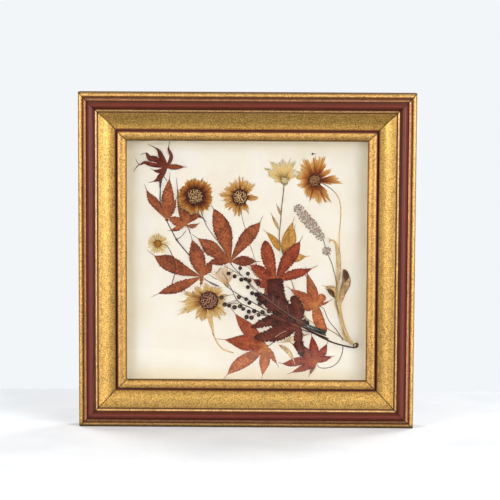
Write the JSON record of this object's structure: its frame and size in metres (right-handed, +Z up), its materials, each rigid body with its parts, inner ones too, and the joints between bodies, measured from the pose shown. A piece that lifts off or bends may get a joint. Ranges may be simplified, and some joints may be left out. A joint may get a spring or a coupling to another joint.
{
  "type": "pressed flower frame",
  "caption": "Square gilt and maroon picture frame standing on its edge, with pressed maple leaves, flowers, lavender and berry sprigs on cream board under glass.",
  "frame": {"origin": "middle of the bottom edge, halfway between the front crest of the moulding and the heads of the hanger's nails", "axes": "+X to the right as seen from the front, +Y from the glass to the back, +Z up the frame"},
  "size_m": [0.305, 0.0324, 0.305],
  "materials": {
    "gilt_moulding": "worn gold leaf over red-brown clay, with a maroon hump",
    "clear_glass": "clear, polished",
    "cream_board": "matte cream paper board",
    "brown_hardboard": "matte",
    "tinned_steel": "bright tinned steel",
    "brassed_steel": "brass plated",
    "red_brown_leaf": "dry, matte",
    "maroon_leaf": "dry, matte",
    "brick_red_leaf": "dry, matte",
    "orange_leaf": "dry, matte",
    "dark_purple_leaf": "dry, matte",
    "ochre_leaf": "dry, matte",
    "tan_leaf": "dry, papery",
    "brown_leaf": "dry, papery",
    "rust_petals": "dry, papery",
    "yellow_petals": "dry, papery",
    "straw_petals": "dry, papery",
    "dry_lavender": "dry, matte",
    "dark_berries": "dry, slightly glossy"
  },
  "bodies": {
    "root": {"rail_top": "gilt_moulding", "rail_bottom": "gilt_moulding", "rail_left": "gilt_moulding", "rail_right": "gilt_moulding", "glass": "clear_glass", "spacer_top": "cream_board", "spacer_bottom": "cream_board", "spacer_left": "cream_board", "spacer_right": "cream_board", "mount_board": "cream_board", "backing_board": "brown_hardboard", "point_1": "tinned_steel", "point_2": "tinned_steel", "point_3": "tinned_steel", "point_4": "tinned_steel", "point_5": "tinned_steel", "point_6": "tinned_steel", "point_7": "tinned_steel", "point_8": "tinned_steel", "hanger": "brassed_steel", "hanger_nail_1": "brassed_steel", "hanger_nail_2": "brassed_steel", "leaf_left_tall": "red_brown_leaf", "leaf_left_small": "red_brown_leaf", "leaf_left_broad": "red_brown_leaf", "leaf_centre": "red_brown_leaf", "leaf_curled_maroon": "maroon_leaf", "leaf_brick_red": "brick_red_leaf", "leaf_lower_small": "brick_red_leaf", "leaf_right": "orange_leaf", "leaf_lower_left": "orange_leaf", "leaf_dark_purple": "dark_purple_leaf", "ochre_leaf_tall": "ochre_leaf", "ochre_leaf_broad": "ochre_leaf", "ochre_leaf_left": "ochre_leaf", "ochre_leaf_right": "ochre_leaf", "tan_leaf_curled": "tan_leaf", "grass_blade": "tan_leaf", "grass_blade_twisted": "tan_leaf", "brown_leaf_curled": "brown_leaf", "brown_leaf_cupped": "brown_leaf", "flower_rust": "rust_petals", "flower_orange": "rust_petals", "flower_yellow": "yellow_petals", "flower_tan": "yellow_petals", "flower_straw": "straw_petals", "flower_small_yellow": "straw_petals", "petal_fan": "straw_petals", "lavender": "dry_lavender", "berry_sprig_upper": "dark_berries", "berry_sprig_middle": "dark_berries", "berry_sprig_lower": "dark_berries", "seed_fleck": "dark_berries"}
  },
  "joints": []
}
